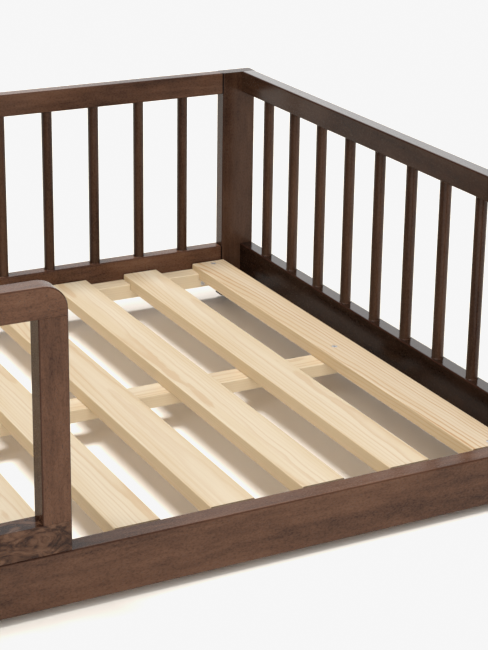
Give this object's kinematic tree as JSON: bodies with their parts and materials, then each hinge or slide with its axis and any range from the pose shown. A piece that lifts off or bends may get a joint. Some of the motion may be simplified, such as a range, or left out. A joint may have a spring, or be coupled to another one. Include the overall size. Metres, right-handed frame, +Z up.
{
  "type": "toddler floor bed",
  "caption": "Low dark wooden floor bed with spindle panels on three sides, a spindle guard beside an open entry at the front, and a pine slat base.",
  "frame": {"origin": "on the floor, below the middle of the bed's length and width", "axes": "+X along the bed towards the entry end, +Y towards the back panel, +Z up"},
  "size_m": [1.445, 0.759, 0.341],
  "materials": {
    "walnut_along_x": "dark walnut stain under satin lacquer",
    "walnut_along_y": "dark walnut stain under satin lacquer",
    "walnut_upright": "dark walnut stain under satin lacquer",
    "walnut_figured": "dark walnut stain over figured grain, satin lacquer",
    "pine_along_x": "bare planed pine",
    "pine_along_y": "bare planed pine",
    "pine_upright": "bare planed pine",
    "beech": "bare beech dowel",
    "zinc_steel": "zinc-plated steel",
    "nylon": "dark brown nylon"
  },
  "bodies": {
    "root": {"back_bottom_rail": "walnut_along_x", "back_ledger": "pine_along_x", "back_spindles_row": "walnut_upright", "back_top_rail": "walnut_along_x", "barrel_nuts": "zinc_steel", "end_dowels": "beech", "floor_glides": "nylon", "foot_screw": "zinc_steel", "front_ledger": "pine_along_x", "front_rail": "walnut_along_x", "guard_barrel_nuts": "zinc_steel", "guard_bolts": "zinc_steel", "guard_bottom_rail": "walnut_figured", "guard_dowels": "beech", "guard_left_stile": "walnut_upright", "guard_right_stile": "walnut_upright", "guard_screws": "zinc_steel", "guard_spindles_row": "walnut_upright", "guard_top_rail": "walnut_along_x", "ledger_screws": "zinc_steel", "left_back_post": "walnut_upright", "left_bottom_rail": "walnut_along_y", "left_front_post": "walnut_upright", "left_spindles": "walnut_upright", "left_top_rail": "walnut_along_y", "middle_beam": "pine_along_x", "middle_foot": "pine_upright", "panel_bolts": "zinc_steel", "rail_dowels": "beech", "right_back_post": "walnut_upright", "right_bottom_rail": "walnut_along_y", "right_front_post": "walnut_upright", "right_spindle_1": "walnut_upright", "right_spindle_2": "walnut_upright", "right_spindle_3": "walnut_upright", "right_spindle_4": "walnut_upright", "right_spindle_5": "walnut_upright", "right_spindle_6": "walnut_upright", "right_spindle_7": "walnut_upright", "right_spindle_8": "walnut_upright", "right_spindle_9": "walnut_upright", "right_top_rail": "walnut_along_y", "slat_01": "pine_along_y", "slat_02": "pine_along_y", "slat_03": "pine_along_y", "slat_04": "pine_along_y", "slat_05": "pine_along_y", "slat_06": "pine_along_y", "slat_07": "pine_along_y", "slat_08": "pine_along_y", "slat_09": "pine_along_y", "slat_10": "pine_along_y", "slat_11": "pine_along_y", "slat_12": "pine_along_y", "slat_13": "pine_along_y", "slat_screws": "zinc_steel"}
  },
  "joints": []
}
